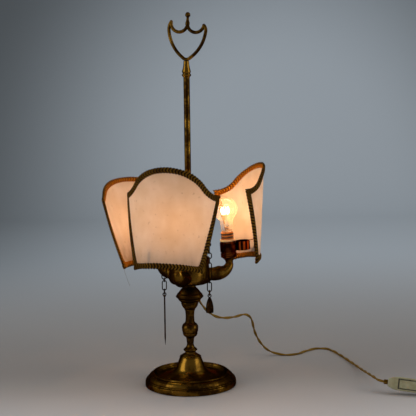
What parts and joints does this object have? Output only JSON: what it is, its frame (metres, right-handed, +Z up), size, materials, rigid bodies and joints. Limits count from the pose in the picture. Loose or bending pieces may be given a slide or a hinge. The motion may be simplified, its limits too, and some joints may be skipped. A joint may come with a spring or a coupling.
{
  "type": "table lamp",
  "caption": "Brass oil-style table lamp wired for electricity: dished foot, turned stem, nozzles with bulbs and parchment shades, tools on chains, tall rod, cord with switch and plug.",
  "frame": {"origin": "on the table, under the middle of the foot", "axes": "+Z up along the stem, -Y toward the viewer of the picture, +X to the right"},
  "size_m": [0.7777, 0.4519, 0.6811],
  "materials": {
    "aged_brass": "aged and darkened, rubbed bright on the edges",
    "dark_brass": "browned",
    "bronze": "almost black patina",
    "steel": "plain",
    "cast_iron": "as cast",
    "felt": "felt",
    "parchment": "mottled cream parchment, lets light through",
    "braid": "woven braid, old gold",
    "cream_plastic": "satin",
    "dark_plastic": "satin",
    "ivory_plastic": "satin ivory",
    "bulb_glass": "clear",
    "nickel": "nickel plated",
    "wire_sleeve": "plain",
    "gold_cord": "gold flex, slight sheen"
  },
  "bodies": {
    "lamp": {"base_pad": "felt", "base_weight": "cast_iron", "base_dish": "aged_brass", "base_nut": "steel", "centre_tube": "steel", "stem_vase": "aged_brass", "stem_column": "aged_brass", "stem_knob": "aged_brass", "cord_bush": "aged_brass", "reservoir_bowl": "aged_brass", "reservoir_lid": "aged_brass", "chain_hooks": "bronze", "nozzle_1": "aged_brass", "nozzle_2": "aged_brass", "nozzle_3": "aged_brass", "inner_wires": "wire_sleeve", "drip_cup_1": "aged_brass", "socket_shell_1": "dark_brass", "socket_ring_1": "cream_plastic", "socket_core_1": "dark_plastic", "drip_cup_2": "aged_brass", "socket_shell_2": "dark_brass", "socket_ring_2": "cream_plastic", "socket_core_2": "dark_plastic", "drip_cup_3": "aged_brass", "socket_shell_3": "dark_brass", "socket_ring_3": "cream_plastic", "socket_core_3": "dark_plastic", "bulb_glass_1": "bulb_glass", "bulb_glass_2": "bulb_glass", "bulb_glass_3": "bulb_glass", "bulb_caps": "nickel", "bulb_filaments": "nickel", "rod": "aged_brass", "handle": "aged_brass", "finial": "aged_brass", "cord_run": "gold_cord", "switch_base": "ivory_plastic", "switch_cover": "ivory_plastic", "switch_glands": "dark_brass", "cord_coil": "gold_cord", "plug_body": "ivory_plastic", "plug_pins": "nickel", "plug_sleeve": "ivory_plastic"},
    "shade_1": {"shade_clip_1": "dark_brass", "parchment_1": "parchment", "shade_braid_1": "braid"},
    "shade_2": {"shade_clip_2": "dark_brass", "parchment_2": "parchment", "shade_braid_2": "braid"},
    "shade_3": {"shade_clip_3": "dark_brass", "parchment_3": "parchment", "shade_braid_3": "braid"},
    "extinguisher_links": {"extinguisher_chain": "bronze"},
    "needle_links": {"needle_chain": "bronze"},
    "tweezers_links": {"tweezers_chain": "bronze"},
    "extinguisher_bell": {"extinguisher": "bronze"},
    "needle_tool": {"wick_needle": "bronze"},
    "tweezers_tool": {"tweezers": "bronze"},
    "rocker": {"switch_rocker": "ivory_plastic"}
  },
  "joints": [
    {"name": "shade_swivel_1", "type": "hinge", "parent": "lamp", "child": "shade_1", "pos_m": [0.0738, 0.01977, 0.2342], "axis": [-0.0674, -0.0181, 0.9976], "range_deg": [-14, 14]},
    {"name": "shade_swivel_2", "type": "hinge", "parent": "lamp", "child": "shade_2", "pos_m": [-0.01977, -0.0738, 0.2342], "axis": [0.0181, 0.0674, 0.9976], "range_deg": [-14, 14]},
    {"name": "shade_swivel_3", "type": "hinge", "parent": "lamp", "child": "shade_3", "pos_m": [-0.05402, 0.05402, 0.2342], "axis": [0.0493, -0.0493, 0.9976], "range_deg": [-10, 14]},
    {"name": "extinguisher_chain_swing", "type": "hinge", "parent": "lamp", "child": "extinguisher_links", "pos_m": [0.03611, -0.03009, 0.2628], "axis": [0.9659, -0.2588, 0], "range_deg": [-30, 8]},
    {"name": "extinguisher_swing", "type": "hinge", "parent": "extinguisher_links", "child": "extinguisher_bell", "pos_m": [0.03611, -0.03009, 0.1727], "axis": [0.2588, 0.9659, 0], "range_deg": [-40, 30]},
    {"name": "needle_chain_swing", "type": "hinge", "parent": "lamp", "child": "needle_links", "pos_m": [-0.04597, -0.00977, 0.2628], "axis": [0.9781, 0.2079, 0], "range_deg": [-18, 18]},
    {"name": "needle_swing", "type": "hinge", "parent": "needle_links", "child": "needle_tool", "pos_m": [-0.04597, -0.00977, 0.1727], "axis": [-0.2079, 0.9781, 0], "range_deg": [-15, 35]},
    {"name": "tweezers_chain_swing", "type": "hinge", "parent": "lamp", "child": "tweezers_links", "pos_m": [-0.00573, 0.04665, 0.2628], "axis": [-0.1219, 0.9925, 0], "range_deg": [-12, 8]},
    {"name": "tweezers_swing", "type": "hinge", "parent": "tweezers_links", "child": "tweezers_tool", "pos_m": [-0.00573, 0.04665, 0.1727], "axis": [-0.9925, -0.1219, 0], "range_deg": [-35, 15]},
    {"name": "rocker_tilt", "type": "hinge", "parent": "lamp", "child": "rocker", "pos_m": [0.38779, -0.09618, 0.01829], "axis": [0.1425, 0.2177, 0.9655], "range_deg": [-5, 5]}
  ]
}
